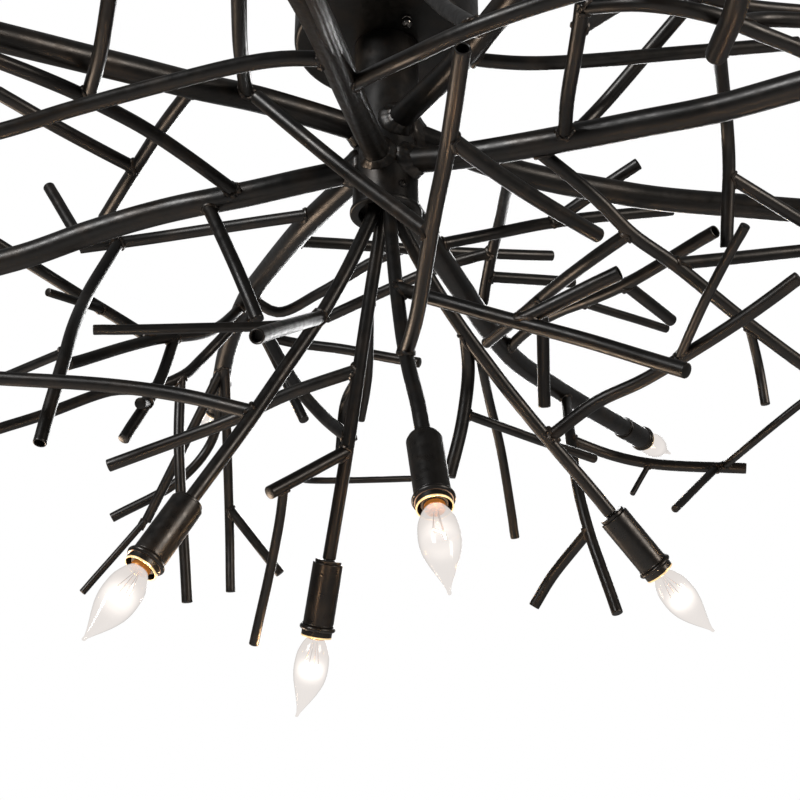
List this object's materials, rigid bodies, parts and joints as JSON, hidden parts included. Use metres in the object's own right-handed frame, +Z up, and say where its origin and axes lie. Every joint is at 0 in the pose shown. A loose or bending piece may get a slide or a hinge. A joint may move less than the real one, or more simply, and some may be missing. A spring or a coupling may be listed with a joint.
{
  "type": "branch chandelier",
  "caption": "Chandelier of irregular metal branches with stub twigs, spreading from a short hub under a ceiling canopy, each main branch and arm ending in a candle-style lamp.",
  "frame": {"origin": "middle of the top face of the ceiling plate, in the plane of the ceiling", "axes": "+Z straight up into the ceiling, -Y towards the side the picture was taken from, +X to its right; the hub hangs down the Z axis"},
  "size_m": [1.5797, 1.538, 0.6827],
  "materials": {
    "bronze": "dark oiled bronze, satin, rubbed brown on the edges",
    "steel": "zinc-plated",
    "phenolic": "moulded, matte",
    "glass": "clear bulb glass",
    "wire": "sleeved bundle of insulated wires"
  },
  "bodies": {
    "fixture": {"arm_1": "bronze", "arm_2": "bronze", "arm_3": "bronze", "arm_4": "bronze", "arm_plate": "bronze", "canopy": "bronze", "canopy_stud_1": "steel", "canopy_stud_2": "steel", "ceiling_plate": "steel", "hub_column": "bronze", "hub_foot_ring": "bronze", "hub_hollow_bolt": "steel", "hub_screw": "steel", "limb_1": "bronze", "limb_2": "bronze", "limb_3": "bronze", "limb_4": "bronze", "limb_5": "bronze", "limb_6": "bronze", "limb_7": "bronze", "limb_8": "bronze", "socket_arm_1": "phenolic", "socket_arm_2": "phenolic", "socket_arm_3": "phenolic", "socket_arm_4": "phenolic", "socket_cover_arm_1": "bronze", "socket_cover_arm_2": "bronze", "socket_cover_arm_3": "bronze", "socket_cover_arm_4": "bronze", "socket_cover_limb_1": "bronze", "socket_cover_limb_2": "bronze", "socket_cover_limb_3": "bronze", "socket_cover_limb_4": "bronze", "socket_cover_limb_5": "bronze", "socket_cover_limb_6": "bronze", "socket_cover_limb_7": "bronze", "socket_cover_limb_8": "bronze", "socket_limb_1": "phenolic", "socket_limb_2": "phenolic", "socket_limb_3": "phenolic", "socket_limb_4": "phenolic", "socket_limb_5": "phenolic", "socket_limb_6": "phenolic", "socket_limb_7": "phenolic", "socket_limb_8": "phenolic", "supply_wires": "wire"},
    "canopy_nut_1": {"ball_nut_1": "bronze"},
    "canopy_nut_2": {"ball_nut_2": "bronze"},
    "bulb_of_limb_1": {"bulb_limb_1": "glass"},
    "bulb_of_limb_2": {"bulb_limb_2": "glass"},
    "bulb_of_limb_3": {"bulb_limb_3": "glass"},
    "bulb_of_limb_4": {"bulb_limb_4": "glass"},
    "bulb_of_limb_5": {"bulb_limb_5": "glass"},
    "bulb_of_limb_6": {"bulb_limb_6": "glass"},
    "bulb_of_limb_7": {"bulb_limb_7": "glass"},
    "bulb_of_limb_8": {"bulb_limb_8": "glass"},
    "bulb_of_arm_1": {"bulb_arm_1": "glass"},
    "bulb_of_arm_2": {"bulb_arm_2": "glass"},
    "bulb_of_arm_3": {"bulb_arm_3": "glass"},
    "bulb_of_arm_4": {"bulb_arm_4": "glass"}
  },
  "joints": [
    {"name": "canopy_nut_1_unscrew", "type": "hinge", "parent": "fixture", "child": "canopy_nut_1", "pos_m": [-0.01954, 0.04603, -0.06524], "axis": [0, 0, -1], "range_deg": [0, 2520]},
    {"name": "canopy_nut_2_unscrew", "type": "hinge", "parent": "fixture", "child": "canopy_nut_2", "pos_m": [0.01954, -0.04603, -0.06524], "axis": [0, 0, -1], "range_deg": [0, 2520]},
    {"name": "bulb_of_limb_1_unscrew", "type": "hinge", "parent": "fixture", "child": "bulb_of_limb_1", "pos_m": [0.66929, 0.04065, -0.24609], "axis": [0.9633, -0.1699, -0.2079], "range_deg": [0, 1080]},
    {"name": "bulb_of_limb_2_unscrew", "type": "hinge", "parent": "fixture", "child": "bulb_of_limb_2", "pos_m": [0.32214, 0.65804, -0.18443], "axis": [0.527, 0.8434, 0.1045], "range_deg": [0, 1080]},
    {"name": "bulb_of_limb_3_unscrew", "type": "hinge", "parent": "fixture", "child": "bulb_of_limb_3", "pos_m": [-0.22759, 0.63216, -0.14104], "axis": [-0.2068, 0.9728, -0.1046], "range_deg": [0, 1080]},
    {"name": "bulb_of_limb_4_unscrew", "type": "hinge", "parent": "fixture", "child": "bulb_of_limb_4", "pos_m": [-0.68796, 0.06225, -0.3048], "axis": [-0.997, -0.0348, -0.0697], "range_deg": [0, 1080]},
    {"name": "bulb_of_limb_5_unscrew", "type": "hinge", "parent": "fixture", "child": "bulb_of_limb_5", "pos_m": [-0.58057, -0.37811, -0.2705], "axis": [-0.8997, -0.4005, -0.1737], "range_deg": [0, 1080]},
    {"name": "bulb_of_limb_6_unscrew", "type": "hinge", "parent": "fixture", "child": "bulb_of_limb_6", "pos_m": [-0.12845, -0.67806, -0.32222], "axis": [-0.2418, -0.9697, -0.0349], "range_deg": [0, 1080]},
    {"name": "bulb_of_limb_7_unscrew", "type": "hinge", "parent": "fixture", "child": "bulb_of_limb_7", "pos_m": [0.27643, -0.64158, -0.24712], "axis": [0.4373, -0.8966, -0.0697], "range_deg": [0, 1080]},
    {"name": "bulb_of_limb_8_unscrew", "type": "hinge", "parent": "fixture", "child": "bulb_of_limb_8", "pos_m": [0.60554, -0.34636, -0.28802], "axis": [0.9113, -0.4057, -0.0697], "range_deg": [0, 1080]},
    {"name": "bulb_of_arm_1_unscrew", "type": "hinge", "parent": "fixture", "child": "bulb_of_arm_1", "pos_m": [0.23136, 0.13579, -0.52058], "axis": [0.6397, 0.3546, -0.682], "range_deg": [0, 1080]},
    {"name": "bulb_of_arm_2_unscrew", "type": "hinge", "parent": "fixture", "child": "bulb_of_arm_2", "pos_m": [-0.05827, 0.14529, -0.57014], "axis": [-0.1642, 0.4065, -0.8988], "range_deg": [0, 1080]},
    {"name": "bulb_of_arm_3_unscrew", "type": "hinge", "parent": "fixture", "child": "bulb_of_arm_3", "pos_m": [-0.17194, -0.07365, -0.58664], "axis": [-0.4522, -0.2304, -0.8616], "range_deg": [0, 1080]},
    {"name": "bulb_of_arm_4_unscrew", "type": "hinge", "parent": "fixture", "child": "bulb_of_arm_4", "pos_m": [0.03483, -0.14867, -0.56346], "axis": [0.1048, -0.3427, -0.9336], "range_deg": [0, 1080]}
  ]
}
